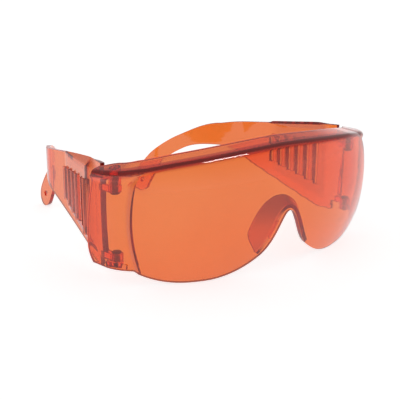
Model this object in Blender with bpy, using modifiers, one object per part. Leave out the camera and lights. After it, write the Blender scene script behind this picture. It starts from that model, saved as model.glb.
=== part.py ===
"""Wraparound safety glasses: one moulded lens shield and two folding temples on short hinge pins."""

import math

import bmesh
import bpy

MM = 0.001

# Overall placement: the front of the shield is moved forward so that the origin is under the middle.
FRONT_SHIFT = 79.9 * MM

# Lens shield, seen from above. Lengths along the outer face are measured from the middle.
FACE_RADIUS = 128.35 * MM
FACE_HALF_LENGTH = 40.0 * MM
CHEEK_RADIUS = 110.5 * MM
STEP_X = 65.0 * MM
WING_RADIUS = 21.4 * MM
WING_ANGLE = math.radians(75.1)
WING_STRAIGHT = 9.84 * MM
SHELL_THICKNESS = 2.0 * MM
WING_RECESS = 1.5 * MM
RECESS_FADE = 0.08
STEP_WIDTH = 3.4 * MM
STEP_BULGE = 3.6 * MM
STEP_CORNER = 3.6 * MM
STEP_CORNER_SHARE = 0.16
WING_EDGE_LEAN = 2.4 * MM
WING_EDGE_BOW = 1.5 * MM
WING_CORNER = 2.4 * MM
WING_CORNER_SHARE = 0.2

# Lens shield, seen from the front.
TOP_HEIGHT = 55.6 * MM
TOP_FALL = 4.73 * MM
TOP_FALL_POWER = 1.59
CROWN = 5.97 * MM
CROWN_HEIGHT = 31.4 * MM
CROWN_SPAN = 30.0 * MM
WING_CROWN_SHARE = 0.2
LOBE_LOW_U = 40.8 * MM
STEP_FOOT = 5.6 * MM
WING_FOOT_AT_STEP = 6.8 * MM
WING_FOOT_AT_END = 8.7 * MM
LOBE_POWER = 2.57
NOSE_HALF_WIDTH = 14.26 * MM
NOSE_HEIGHT = 27.3 * MM
NOSE_DROP = 25.0 * MM
NOSE_SPREAD = 8.46 * MM
NOSE_POWER = 2.2

# Brow shelf and nose flange.
SHELF_DEPTH = 9.7 * MM
SHELF_END_DEPTH = 5.0 * MM
SHELF_RISE = 1.98 * MM
BROW_TANGENT = 2.0 * MM
FLANGE_DEPTH = 9.0 * MM
FLANGE_REACH = 0.97
FLANGE_ROOT_DEPTH = 0.8 * MM
FLANGE_THICKNESS = 1.5 * MM
FLANGE_INSET = 1.0 * MM
FLANGE_END_SHARE = 0.35
FLANGE_ARCH_HALF_WIDTH = 17.0 * MM
FLANGE_ARCH_HEIGHT = 21.0 * MM
FLANGE_ARCH_FOOT = 10.7 * MM
FLANGE_ARCH_SPREAD = 0.65

# Hinges.
HINGE_X = 67.0 * MM
HINGE_Y = 31.5 * MM
PIN_RADIUS = 1.2 * MM
PIN_CLEARANCE = 0.05 * MM
PIN_HEAD_RADIUS = 1.9 * MM
PIN_HEAD_HEIGHT = 0.8 * MM
KNUCKLE_RADIUS = 2.6 * MM
KNUCKLE_HEIGHT = 3.0 * MM
HINGE_GAP = 0.3 * MM
BOSS_RADIUS = 2.4 * MM
BOSS_BOTTOM = 43.0 * MM
BOSS_TOP = 49.4 * MM
UPPER_PIN_TOP = 46.2 * MM
LUG_RADIUS = 2.6 * MM
LUG_BOTTOM = 8.3 * MM
LUG_TOP = 10.5 * MM

# Temples, in the frame of the hinge axis: s runs back, outboard is away from the head.
LEFT_FOLD = math.radians(0.8)
RIGHT_FOLD = math.radians(9.0)
TEMPLE_THICKNESS = 2.0 * MM
TEMPLE_OUTBOARD = 3.7 * MM
TEMPLE_FRONT = 4.2 * MM
BODY_END = 78.0 * MM
LEAN = 9.2 * MM
LEAN_LENGTH = 40.0 * MM
BEND = 22.2 * MM
BEND_START = 64.0 * MM
BEND_LENGTH = 50.0 * MM
TEMPLE_TOP = 51.9 * MM
TEMPLE_TOP_SLOPE = 0.1
TEMPLE_TOP_FRONT_FALL = 1.7 * MM
TEMPLE_TOP_FRONT_END = 24.0 * MM
TEMPLE_TOP_FALL = 0.6 * MM
TEMPLE_TOP_FALL_START = 64.0 * MM
TEMPLE_FOOT = 0.2 * MM
TEMPLE_FOOT_SLOPE = 0.4
TEMPLE_FOOT_LOWEST = 6.5 * MM
NOTCH_LENGTH = 7.2 * MM
NOTCH_TOP = 46.1 * MM
NOTCH_FOOT_LENGTH = 8.6 * MM
TIP_S = 122.2 * MM
TIP_LONG = 7.7 * MM
TIP_SHORT = 5.7 * MM
ARM_MID_WIDTH = 7.4 * MM
ARM_NARROW_SHARE = 0.36
ARM_START_RUN = 18.0 * MM
ARM_START_FALL = 0.4 * MM
ARM_END_RUN = 11.4 * MM
ARM_END_RISE = 17.3 * MM
TIP_HOLE_RADIUS = 1.4 * MM

# Louvred panel of each temple, which stands out from it to lie flush with the wing in front.
PANEL_START = 12.2 * MM
PANEL_RAMP = 7.2 * MM
PANEL_END = 47.0 * MM
PANEL_RISE = 2.9 * MM
PANEL_LEDGE_DROP = 4.2 * MM
PANEL_TAPER_POWER = 0.8
PANEL_FOOT_DROP = 2.2 * MM
PANEL_FOOT_RAMP = 2.6 * MM
SLOT_COUNT = 6
SLOT_FIRST = 20.0 * MM
SLOT_PITCH = 5.15 * MM
SLOT_WIDTH = 1.9 * MM
SLOT_FOOT = 17.2 * MM
SLOT_FOOT_AT = 19.2 * MM
SLOT_FOOT_SLOPE = 0.343
SLOT_HEAD = 41.4 * MM
SLOT_HEAD_SLOPE = 0.02
HOOD_THICKNESS = 0.9 * MM
HOOD_STAND_OFF = 1.5 * MM

LENS_COLOUR = (0.90, 0.20, 0.04, 1.0)
PIN_COLOUR = (0.55, 0.08, 0.03, 1.0)


def clear_scene():
    for obj in list(bpy.data.objects):
        bpy.data.objects.remove(obj, do_unlink=True)
    for collection in list(bpy.data.collections):
        bpy.data.collections.remove(collection)


def new_collection(name, hidden=False):
    collection = bpy.data.collections.new(name)
    bpy.context.scene.collection.children.link(collection)
    collection.hide_render = hidden
    return collection


def plastic(name, colour, alpha=1.0):
    material = bpy.data.materials.new(name)
    material.use_nodes = True
    shader = material.node_tree.nodes["Principled BSDF"]
    shader.inputs["Base Color"].default_value = colour
    shader.inputs["Roughness"].default_value = 0.08
    shader.inputs["IOR"].default_value = 1.585
    shader.inputs["Transmission Weight"].default_value = alpha
    return material


def smooth(t):
    t = min(max(t, 0.0), 1.0)
    return t * t * (3.0 - 2.0 * t)


# ---------------------------------------------------------------- meshes


def mesh_object(name, mesh, collection):
    obj = bpy.data.objects.new(name, mesh)
    collection.objects.link(obj)
    if collection.hide_render:
        obj.hide_render = True
        obj.display_type = "WIRE"
    return obj


def grid_mesh(name, columns, rows, point_at):
    """A grid of quads whose vertex in column i and row j is point_at(i, j)."""
    bm = bmesh.new()
    bmesh.ops.create_grid(bm, x_segments=columns - 1, y_segments=rows - 1, size=1.0)
    for vertex in bm.verts:
        i = round((vertex.co.x + 1.0) / 2.0 * (columns - 1))
        j = round((vertex.co.y + 1.0) / 2.0 * (rows - 1))
        vertex.co = point_at(i, j)
    mesh = bpy.data.meshes.new(name)
    bm.to_mesh(mesh)
    bm.free()
    return mesh


def prism_mesh(name, outline, low, high):
    """An outline in plan, counterclockwise, stood up from low to high."""
    bm = bmesh.new()
    base = [bm.verts.new((x, y, low)) for x, y in outline]
    bm.faces.new(base)
    made = bmesh.ops.extrude_face_region(bm, geom=list(bm.faces))
    moved = [item for item in made["geom"] if isinstance(item, bmesh.types.BMVert)]
    bmesh.ops.translate(bm, vec=(0.0, 0.0, high - low), verts=moved)
    bmesh.ops.recalc_face_normals(bm, faces=list(bm.faces))
    mesh = bpy.data.meshes.new(name)
    bm.to_mesh(mesh)
    bm.free()
    return mesh


def blocks_mesh(name, blocks):
    """Separate six-sided blocks, each given by its four lower and its four upper corners."""
    bm = bmesh.new()
    for lower, upper in blocks:
        ring = [bm.verts.new(point) for point in lower]
        lid = [bm.verts.new(point) for point in upper]
        bm.faces.new(ring)
        bm.faces.new(lid)
        for k in range(4):
            n = (k + 1) % 4
            bm.faces.new((ring[k], ring[n], lid[n], lid[k]))
    bmesh.ops.recalc_face_normals(bm, faces=list(bm.faces))
    mesh = bpy.data.meshes.new(name)
    bm.to_mesh(mesh)
    bm.free()
    return mesh


def circle(radius, start=0.0, turn=2.0 * math.pi, count=32, closed=False):
    steps = count - 1 if closed else count
    angles = [start + turn * k / steps for k in range(count)]
    return [(radius * math.cos(a), radius * math.sin(a)) for a in angles]


def solidify(obj, thickness, offset):
    modifier = obj.modifiers.new("Thickness", "SOLIDIFY")
    modifier.thickness = thickness
    modifier.offset = offset
    modifier.use_even_offset = True
    return modifier


def boolean(obj, other, operation):
    modifier = obj.modifiers.new(other.name, "BOOLEAN")
    modifier.operation = operation
    modifier.solver = "EXACT"
    modifier.object = other
    return modifier


# ---------------------------------------------------------------- lens shield


def arc_marks():
    """Tangent angles and lengths at which the plan curve changes radius."""
    face_turn = FACE_HALF_LENGTH / FACE_RADIUS
    face_x = FACE_RADIUS * math.sin(face_turn)
    step_turn = math.asin((STEP_X - face_x) / CHEEK_RADIUS + math.sin(face_turn))
    step_u = FACE_HALF_LENGTH + CHEEK_RADIUS * (step_turn - face_turn)
    bend_u = step_u + WING_RADIUS * (WING_ANGLE - step_turn)
    return face_turn, step_turn, step_u, bend_u


FACE_TURN, STEP_TURN, STEP_U, BEND_U = arc_marks()
WING_END_U = BEND_U + WING_STRAIGHT


def run_arc(x, y, radius, from_angle, to_angle):
    return (
        x + radius * (math.sin(to_angle) - math.sin(from_angle)),
        y + radius * (math.cos(from_angle) - math.cos(to_angle)),
    )


def plan_point(u):
    """Position and tangent angle of the shield's outer face at the signed length u."""
    length = abs(u)
    angle = min(length, FACE_HALF_LENGTH) / FACE_RADIUS
    x, y = run_arc(0.0, 0.0, FACE_RADIUS, 0.0, angle)
    if length > FACE_HALF_LENGTH:
        angle = FACE_TURN + (min(length, STEP_U) - FACE_HALF_LENGTH) / CHEEK_RADIUS
        x, y = run_arc(x, y, CHEEK_RADIUS, FACE_TURN, angle)
    if length > STEP_U:
        angle = STEP_TURN + (min(length, BEND_U) - STEP_U) / WING_RADIUS
        x, y = run_arc(x, y, WING_RADIUS, STEP_TURN, angle)
    if length > BEND_U:
        x += (length - BEND_U) * math.cos(angle)
        y += (length - BEND_U) * math.sin(angle)
    side = -1.0 if u < 0.0 else 1.0
    return side * x, y, side * angle


def crown(u, z):
    """How far the outer face falls back above and below its fullest height."""
    past = min(max((abs(u) - STEP_U) / (BEND_U - STEP_U), 0.0), 1.0)
    share = 1.0 + (WING_CROWN_SHARE - 1.0) * past
    return share * CROWN * ((z - CROWN_HEIGHT) / CROWN_SPAN) ** 2


def shield_point(u, z, inward):
    """A point at a distance inward from the crowned outer face."""
    x, y, angle = plan_point(u)
    y -= FRONT_SHIFT
    return (x - math.sin(angle) * inward, y + math.cos(angle) * inward, z)


def top_height(u):
    x = plan_point(u)[0]
    return TOP_HEIGHT - TOP_FALL * abs(x / (60.0 * MM)) ** TOP_FALL_POWER


def nose_outline(u):
    """Height of the nose opening's edge at the length u: a rounded peak with spreading sides."""
    steep = (abs(u) / NOSE_SPREAD) ** NOSE_POWER
    return NOSE_HEIGHT - NOSE_DROP * steep / (1.0 + steep)


def foot_height(u):
    length = abs(u)
    if length < NOSE_HALF_WIDTH:
        return nose_outline(length)
    if length < LOBE_LOW_U:
        part = (LOBE_LOW_U - length) / (LOBE_LOW_U - NOSE_HALF_WIDTH)
        return nose_outline(NOSE_HALF_WIDTH) * part**NOSE_POWER
    lobe = STEP_FOOT * ((min(length, STEP_U) - LOBE_LOW_U) / (STEP_U - LOBE_LOW_U)) ** LOBE_POWER
    part = max(length - STEP_U, 0.0) / (WING_END_U - STEP_U)
    wing = WING_FOOT_AT_STEP + (WING_FOOT_AT_END - WING_FOOT_AT_STEP) * part
    return lobe + (wing - STEP_FOOT) * smooth((length - STEP_U) / STEP_WIDTH)


def stations():
    """Lengths of the shield's columns on one side."""
    found = [NOSE_HALF_WIDTH * k / 8.0 for k in range(9)]
    found += [NOSE_HALF_WIDTH + (STEP_U - NOSE_HALF_WIDTH) * k / 15.0 for k in range(1, 16)]
    wing = STEP_U + STEP_WIDTH
    found += [STEP_U + STEP_WIDTH * share for share in (0.2, 0.5)]
    found += [wing + (WING_END_U - wing) * k / 9.0 for k in range(10)]
    return found


def wing_edge(part):
    """How far the wing's rear edge lies behind its nominal end, from its foot at 0 to its top at 1."""
    off = 2.0 * part - 1.0
    corner = max(1.0 - part / WING_CORNER_SHARE, 0.0)
    return -WING_EDGE_LEAN * off - WING_EDGE_BOW * off * off - WING_CORNER * corner**2


def bowed(u, part):
    """Moves a column's length so that the step and the wing's rear edge curve with height."""
    corner = max(1.0 - (1.0 - part) / STEP_CORNER_SHARE, 0.0)
    bulge = STEP_BULGE * 4.0 * part * (1.0 - part) - STEP_CORNER * corner * corner
    length = abs(u)
    start = STEP_U - 16.0 * MM
    if length <= start:
        return u
    if length <= STEP_U:
        shift = bulge * (length - start) / (STEP_U - start)
    else:
        past = (length - STEP_U) / (WING_END_U - STEP_U)
        shift = bulge * (1.0 - past) ** 2 + wing_edge(part) * past**3
    return math.copysign(length + shift, u)


def recess(u, part):
    """How far the wing is stepped back behind the lens face: sharp at the lens, fading under the brow."""
    past = min(max((abs(u) - STEP_U) / STEP_WIDTH, 0.0), 1.0)
    return WING_RECESS * (1.0 - (1.0 - past) ** 2) * smooth((1.0 - part) / RECESS_FADE)


def shelf_size(u):
    """Depth and rise of the brow shelf, which narrows behind the hinge."""
    end = smooth((abs(u) - BEND_U) / (WING_END_U - BEND_U))
    depth = SHELF_DEPTH + (SHELF_END_DEPTH - SHELF_DEPTH) * end
    return depth, SHELF_RISE * depth / SHELF_DEPTH


def shield_profile(u, part):
    """A point of one column: part 0 to 1 climbs the lens, 1 to 2 rounds the brow, 2 to 3 is the shelf."""
    foot, top = foot_height(u), top_height(u)
    depth, rise = shelf_size(u)
    slope = math.hypot(depth, rise)
    back, up = depth / slope, rise / slope
    if part <= 1.0:
        z = foot + (top - BROW_TANGENT - foot) * part
        place = bowed(u, (z - foot) / (top - foot))
        return shield_point(place, z, recess(u, part) + crown(place, z))
    edge = crown(u, top)
    place = bowed(u, 1.0)
    if part <= 2.0:
        t = part - 1.0
        lower = crown(u, top - BROW_TANGENT)
        inward = lower * (1 - t) ** 2 + 2 * edge * t * (1 - t) + (edge + BROW_TANGENT * back) * t * t
        z = top - BROW_TANGENT * (1 - t) ** 2 + BROW_TANGENT * up * t * t
        return shield_point(place, z, inward)
    run = BROW_TANGENT + (slope - BROW_TANGENT) * (part - 2.0)
    return shield_point(place, top + up * run, edge + back * run)


def build_shell(collection):
    side = stations()
    columns = [-u for u in reversed(side[1:])] + side
    parts = [k / 13.0 for k in range(13)] + [0.96, 1.0, 1.25, 1.5, 1.75, 2.0, 2.33, 2.67, 3.0]

    def at(i, j):
        return shield_profile(columns[i], parts[j])

    mesh = grid_mesh("lens_shield", len(columns), len(parts), at)
    obj = mesh_object("lens_shield", mesh, collection)
    solidify(obj, SHELL_THICKNESS, -1.0)
    return obj


def nose_flange_point(t, back):
    """A point of the flange's middle layer: back 0 is inside the lens edge, 1 is the arched free edge."""
    u = NOSE_HALF_WIDTH * t
    step = 0.01 * MM
    slope = (nose_outline(u + step) - nose_outline(u - step)) / (2.0 * step)
    long = math.hypot(1.0, slope)
    root_u = u - slope / long * FLANGE_INSET
    root_z = nose_outline(u) + FLANGE_INSET / long
    swing = math.copysign(math.pi / 2.0 * abs(t) ** FLANGE_ARCH_SPREAD, t)
    arch_u = FLANGE_ARCH_HALF_WIDTH * math.sin(swing)
    arch_z = FLANGE_ARCH_FOOT + FLANGE_ARCH_HEIGHT * math.cos(swing)
    full = FLANGE_DEPTH * (1.0 - (1.0 - FLANGE_END_SHARE) * smooth((abs(t) - 0.6) / 0.4) ** 2)
    share = back * (full - FLANGE_ROOT_DEPTH) / (FLANGE_DEPTH - FLANGE_ROOT_DEPTH)
    depth = FLANGE_ROOT_DEPTH + (full - FLANGE_ROOT_DEPTH) * back
    z = root_z + (arch_z - root_z) * share
    return shield_point(root_u + (arch_u - root_u) * share, z, crown(u, z) + depth)


def build_nose_flange(helpers):
    rows = 6

    def at(i, j):
        back = j / (rows - 1)
        t = (i / 28.0) * 2.0 - 1.0
        return nose_flange_point(t * FLANGE_REACH, back)

    obj = mesh_object("nose_flange", grid_mesh("nose_flange", 29, rows, at), helpers)
    solidify(obj, FLANGE_THICKNESS, 0.0)
    return obj


# ---------------------------------------------------------------- hinges


def hinge_place(obj, side, fold=0.0):
    """Puts an object that was modelled about the hinge axis on the real axis of its side."""
    obj.location = (side * HINGE_X, HINGE_Y - FRONT_SHIFT, 0.0)
    obj.rotation_euler = (0.0, 0.0, side * fold)


def sided(points, side):
    """Mirrors an outline for the left side and keeps it counterclockwise."""
    if side > 0:
        return list(points)
    return [(-x, y) for x, y in reversed(list(points))]


def lug_outline():
    """The lower lug: a round end about the pin and a foot that runs forward along the wing."""
    foot = [(0.0, -7.6 * MM), (2.2 * MM, -4.5 * MM), (3.7 * MM, -1.2 * MM), (4.5 * MM, 2.0 * MM)]
    return circle(LUG_RADIUS, math.radians(60), math.radians(210), 16, True) + foot


def build_front_hinges(helpers, shell):
    for side, name in ((-1, "left"), (1, "right")):
        boss_mesh = prism_mesh("boss", sided(circle(BOSS_RADIUS), side), BOSS_BOTTOM, BOSS_TOP)
        boss = mesh_object("boss_" + name, boss_mesh, helpers)
        lug_mesh = prism_mesh("lug", sided(lug_outline(), side), LUG_BOTTOM, LUG_TOP)
        lug = mesh_object("lug_" + name, lug_mesh, helpers)
        hole = circle(PIN_RADIUS + PIN_CLEARANCE)
        top_mesh = prism_mesh("pin_bore_top", hole, BOSS_BOTTOM - MM, UPPER_PIN_TOP + 0.1 * MM)
        top = mesh_object("shield_top_bore_" + name, top_mesh, helpers)
        low_mesh = prism_mesh("pin_bore_low", hole, LUG_BOTTOM - MM, LUG_TOP + MM)
        low = mesh_object("shield_low_bore_" + name, low_mesh, helpers)
        for piece, operation in ((boss, "UNION"), (lug, "UNION"), (top, "DIFFERENCE"), (low, "DIFFERENCE")):
            hinge_place(piece, side)
            boolean(shell, piece, operation)


def knuckle_levels():
    """Lowest height of the upper and of the lower temple knuckle."""
    return BOSS_BOTTOM - HINGE_GAP - KNUCKLE_HEIGHT, LUG_TOP + HINGE_GAP


def pin_mesh(name, profile):
    """A half profile of radius and height, for a Screw modifier to turn about the axis."""
    bm = bmesh.new()
    points = [bm.verts.new((r, 0.0, z)) for r, z in profile]
    for first, second in zip(points, points[1:]):
        bm.edges.new((first, second))
    mesh = bpy.data.meshes.new(name)
    bm.to_mesh(mesh)
    bm.free()
    return mesh


def build_pin(collection, name, side, low, high, head_low):
    """A plain pin from low to high, with its head at the end that is free of the shield."""
    edge = 0.2 * MM
    head = PIN_HEAD_HEIGHT
    if head_low:
        profile = [(0.0, low - head), (PIN_HEAD_RADIUS - edge, low - head)]
        profile += [(PIN_HEAD_RADIUS, low - head + edge), (PIN_HEAD_RADIUS, low)]
        profile += [(PIN_RADIUS, low), (PIN_RADIUS, high - edge), (PIN_RADIUS - edge, high), (0.0, high)]
    else:
        profile = [(0.0, low), (PIN_RADIUS - edge, low), (PIN_RADIUS, low + edge), (PIN_RADIUS, high)]
        profile += [(PIN_HEAD_RADIUS, high), (PIN_HEAD_RADIUS, high + head - edge)]
        profile += [(PIN_HEAD_RADIUS - edge, high + head), (0.0, high + head)]
    obj = mesh_object(name, pin_mesh(name, profile), collection)
    screw = obj.modifiers.new("Turn", "SCREW")
    screw.steps = 32
    screw.render_steps = 32
    screw.use_merge_vertices = True
    screw.merge_threshold = 0.00001
    screw.use_normal_flip = True
    hinge_place(obj, side)
    return obj


def build_pins(collection):
    upper, lower = knuckle_levels()
    for side, name in ((-1, "left"), (1, "right")):
        low = upper - 0.1 * MM
        build_pin(collection, "hinge_pin_upper_" + name, side, low, UPPER_PIN_TOP, True)
        high = lower + KNUCKLE_HEIGHT + 0.1 * MM
        build_pin(collection, "hinge_pin_lower_" + name, side, LUG_BOTTOM, high, False)


# ---------------------------------------------------------------- temples


def outboard(s, z):
    """Distance of the temple's middle layer from the hinge axis, away from the head."""
    lean = LEAN * (1.0 - math.exp(-max(s, 0.0) / LEAN_LENGTH))
    bend = BEND * smooth((s - BEND_START) / BEND_LENGTH)
    share = 1.0 - smooth((s - TEMPLE_FRONT) / (60.0 * MM))
    full = WING_CROWN_SHARE * CROWN * share * ((z - CROWN_HEIGHT) / CROWN_SPAN) ** 2
    return TEMPLE_OUTBOARD - lean - bend - full + panel_rise(s, z)


def panel_taper(s):
    part = min(max((PANEL_END - s) / (PANEL_END - PANEL_START), 0.0), 1.0)
    return part**PANEL_TAPER_POWER


def panel_rise(s, z):
    """How far the louvred panel stands out: its ledge slopes out and down from the temple's top edge."""
    if not PANEL_START < s < PANEL_END:
        return 0.0
    taper = panel_taper(s)
    ledge = min((temple_top(s) - z) / (PANEL_LEDGE_DROP * taper), 1.0)
    foot = smooth((z - slot_foot(s) + PANEL_FOOT_DROP + PANEL_FOOT_RAMP) / PANEL_FOOT_RAMP)
    return PANEL_RISE * taper * smooth((s - PANEL_START) / PANEL_RAMP) * ledge * foot


def slot_foot(s):
    return SLOT_FOOT + SLOT_FOOT_SLOPE * (s - SLOT_FOOT_AT)


def temple_top(s):
    front = max(1.0 - s / TEMPLE_TOP_FRONT_END, 0.0)
    rear = max(s - TEMPLE_TOP_FALL_START, 0.0) / (BODY_END - TEMPLE_TOP_FALL_START)
    fall = TEMPLE_TOP_FRONT_FALL * front**2 + TEMPLE_TOP_FALL * rear**2
    return TEMPLE_TOP - TEMPLE_TOP_SLOPE * s - fall


def temple_foot(s):
    return max(TEMPLE_FOOT + TEMPLE_FOOT_SLOPE * s, TEMPLE_FOOT_LOWEST)


def tip_centre():
    """Place and height of the tip's middle, with the tip's lowest point on the ground."""
    angle = math.atan2(ARM_END_RISE, ARM_END_RUN)
    low = math.hypot(TIP_LONG * math.sin(angle), TIP_SHORT * math.cos(angle))
    return TIP_S, low


def arm_point(t):
    """Centre line of the ear arm, from the body at t = 0 to the middle of the tip at t = 1."""
    s0, z0 = BODY_END, (temple_top(BODY_END) + temple_foot(BODY_END)) / 2.0
    s3, z3 = tip_centre()
    s1, z1 = s0 + ARM_START_RUN, z0 - ARM_START_FALL
    s2, z2 = s3 - ARM_END_RUN, z3 + ARM_END_RISE
    a, b, c, d = (1 - t) ** 3, 3 * t * (1 - t) ** 2, 3 * t * t * (1 - t), t**3
    return a * s0 + b * s1 + c * s2 + d * s3, a * z0 + b * z1 + c * z2 + d * z3


def arm_direction(t):
    step = 0.001
    s0, z0 = arm_point(max(t - step, 0.0))
    s1, z1 = arm_point(min(t + step, 1.0))
    long = math.hypot(s1 - s0, z1 - z0)
    return (s1 - s0) / long, (z1 - z0) / long


def arm_width(t):
    """Width of the arm across its centre line: it narrows behind the body and widens to the tip."""
    root = temple_top(BODY_END) - temple_foot(BODY_END)
    narrow = root + (ARM_MID_WIDTH - root) * smooth(t / ARM_NARROW_SHARE)
    return narrow + (2.0 * TIP_SHORT - narrow) * smooth((t - 0.5) / 0.5)


def between(low, high, count):
    return [low + (high - low) * k / count for k in range(count)]


def row_levels(s):
    """Heights of the rows of one column of the body, closer together at the panel's foot and ledge."""
    foot, top = temple_foot(s), temple_top(s)
    panel_foot = slot_foot(s) - PANEL_FOOT_DROP
    ledge = max(PANEL_LEDGE_DROP * panel_taper(s), 0.8 * MM)
    levels = between(foot, panel_foot - PANEL_FOOT_RAMP, 2)
    levels += between(panel_foot - PANEL_FOOT_RAMP, panel_foot, 2)
    return levels + between(panel_foot, top - ledge, 4) + between(top - ledge, top, 2) + [top]


def temple_columns():
    """Pairs of (s, z) points, the foot and the top of each column, from the front edge to the tip."""
    found = []
    ramp_end = PANEL_START + PANEL_RAMP
    places = between(TEMPLE_FRONT, PANEL_START, 2) + between(PANEL_START, ramp_end, 4)
    places += between(ramp_end, PANEL_END, 8) + between(PANEL_END, BODY_END, 6) + [BODY_END]
    for s in places:
        found.append(((s, temple_foot(s)), (s, temple_top(s))))
    for k in range(1, 17):
        t = k / 16.0
        (s, z), (ds, dz), half = arm_point(t), arm_direction(t), arm_width(t) / 2.0
        found.append(((s + dz * half, z - ds * half), (s - dz * half, z + ds * half)))
    (s, z), (ds, dz) = tip_centre(), arm_direction(1.0)
    for k in range(1, 9):
        angle = math.radians(85.0) * k / 8.0
        along, half = TIP_LONG * math.sin(angle), TIP_SHORT * math.cos(angle)
        cs, cz = s + ds * along, z + dz * along
        found.append(((cs + dz * half, cz - ds * half), (cs - dz * half, cz + ds * half)))
    return found


def temple_point(side, s, z, extra=0.0):
    return (side * (outboard(s, z) + extra), s, z)


def build_temple_sheet(collection, name, side):
    columns = temple_columns()
    rows = len(row_levels(BODY_END))

    def at(i, j):
        (s0, z0), (s1, z1) = columns[i]
        levels = row_levels(min(s0, BODY_END))
        part = (levels[j] - levels[0]) / (levels[-1] - levels[0])
        return temple_point(side, s0 + (s1 - s0) * part, z0 + (z1 - z0) * part)

    obj = mesh_object(name, grid_mesh(name, len(columns), rows, at), collection)
    solidify(obj, TEMPLE_THICKNESS, 0.0)
    return obj


def slot_places():
    """Place, lowest and highest height of each louvre."""
    places = [SLOT_FIRST + SLOT_PITCH * k for k in range(SLOT_COUNT)]
    return [(s, slot_foot(s), SLOT_HEAD - SLOT_HEAD_SLOPE * s) for s in places]


def slot_blocks(side):
    blocks = []
    half = SLOT_WIDTH / 2.0
    for s, low, high in slot_places():
        middle = outboard(s, (low + high) / 2.0)
        near, far = side * (middle - 5.0 * MM), side * (middle + 5.0 * MM)
        plan = [(near, s - half), (far, s - half), (far, s + half), (near, s + half)]
        blocks.append(([(x, y, low) for x, y in plan], [(x, y, high) for x, y in plan]))
    return blocks


def hood_corners(side, s, z):
    """Four corners of a louvre hood at one height: rooted in front of the slot, standing off behind."""
    root, rim = s - 3.4 * MM, s + 1.1 * MM
    face = TEMPLE_THICKNESS / 2.0
    return [
        temple_point(side, root, z, face - HOOD_THICKNESS),
        temple_point(side, rim, z, face + HOOD_STAND_OFF - HOOD_THICKNESS),
        temple_point(side, rim, z, face + HOOD_STAND_OFF),
        temple_point(side, root, z, face + 0.1 * MM),
    ]


def hood_blocks(side):
    blocks = []
    over = 0.6 * MM
    for s, low, high in slot_places():
        blocks.append((hood_corners(side, s, low - over), hood_corners(side, s, high + over)))
    return blocks


def knuckle_outline():
    """A round end about the pin and a straight arm back to the temple's front edge."""
    arm = [(TEMPLE_OUTBOARD - 0.2 * MM, 6.2 * MM), (0.0, 6.2 * MM)]
    return circle(KNUCKLE_RADIUS, math.radians(90), math.radians(270), 24, True) + arm


def notch_blocks(side):
    """What the temple leaves free for the brow shelf above and for the lower lug below."""
    near, far = -12.0 * MM * side, 12.0 * MM * side

    def block(s, low, high):
        plan = [(near, -2.0 * MM), (far, -2.0 * MM), (far, s), (near, s)]
        return [(x, y, low) for x, y in plan], [(x, y, high) for x, y in plan]

    foot = knuckle_levels()[1]
    return [block(NOTCH_LENGTH, NOTCH_TOP, 60.0 * MM), block(NOTCH_FOOT_LENGTH, -1.0 * MM, foot)]


def tip_hole_mesh(name, side):
    s, z = tip_centre()
    middle = side * outboard(s, z)
    bm = bmesh.new()
    made = bmesh.ops.create_cone(
        bm, cap_ends=True, segments=24, radius1=TIP_HOLE_RADIUS, radius2=TIP_HOLE_RADIUS, depth=12.0 * MM
    )
    for vertex in made["verts"]:
        x, y, height = vertex.co
        vertex.co = (middle + height, s + y, z - x)
    bmesh.ops.recalc_face_normals(bm, faces=list(bm.faces))
    mesh = bpy.data.meshes.new(name)
    bm.to_mesh(mesh)
    bm.free()
    return mesh


def build_temple(collection, helpers, name, side, fold):
    temple = build_temple_sheet(collection, "temple_" + name, side)
    pieces = [
        ("notches", blocks_mesh("notches", notch_blocks(side)), "DIFFERENCE"),
        ("slots", blocks_mesh("slots", slot_blocks(side)), "DIFFERENCE"),
        ("hoods", blocks_mesh("hoods", hood_blocks(side)), "UNION"),
    ]
    for level, low in zip(("upper", "lower"), knuckle_levels()):
        outline = sided(knuckle_outline(), side)
        high = low + KNUCKLE_HEIGHT
        pieces.append(("knuckle_" + level, prism_mesh("knuckle", outline, low, high), "UNION"))
        hole = circle(PIN_RADIUS + PIN_CLEARANCE)
        pieces.append(("bore_" + level, prism_mesh("bore", hole, low - MM, high + MM), "DIFFERENCE"))
    pieces.append(("tip_hole", tip_hole_mesh("tip_hole", side), "DIFFERENCE"))
    made = [(mesh_object(f"{name}_{what}", mesh, helpers), operation) for what, mesh, operation in pieces]
    for piece, operation in made:
        hinge_place(piece, side, fold)
        boolean(temple, piece, operation)
    hinge_place(temple, side, fold)
    return temple


# ---------------------------------------------------------------- assembly


def main():
    clear_scene()
    glasses = new_collection("safety_glasses")
    helpers = new_collection("helpers", hidden=True)
    shell = build_shell(glasses)
    boolean(shell, build_nose_flange(helpers), "UNION")
    build_front_hinges(helpers, shell)
    build_temple(glasses, helpers, "left", -1, LEFT_FOLD)
    build_temple(glasses, helpers, "right", 1, RIGHT_FOLD)
    build_pins(glasses)
    for obj in glasses.objects:
        is_pin = obj.name.startswith("hinge_pin")
        obj.data.materials.append(plastic(obj.name, PIN_COLOUR if is_pin else LENS_COLOUR, 0.0 if is_pin else 0.8))


main()
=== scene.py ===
import math

import bmesh
import bpy
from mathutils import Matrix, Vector, kdtree


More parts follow.
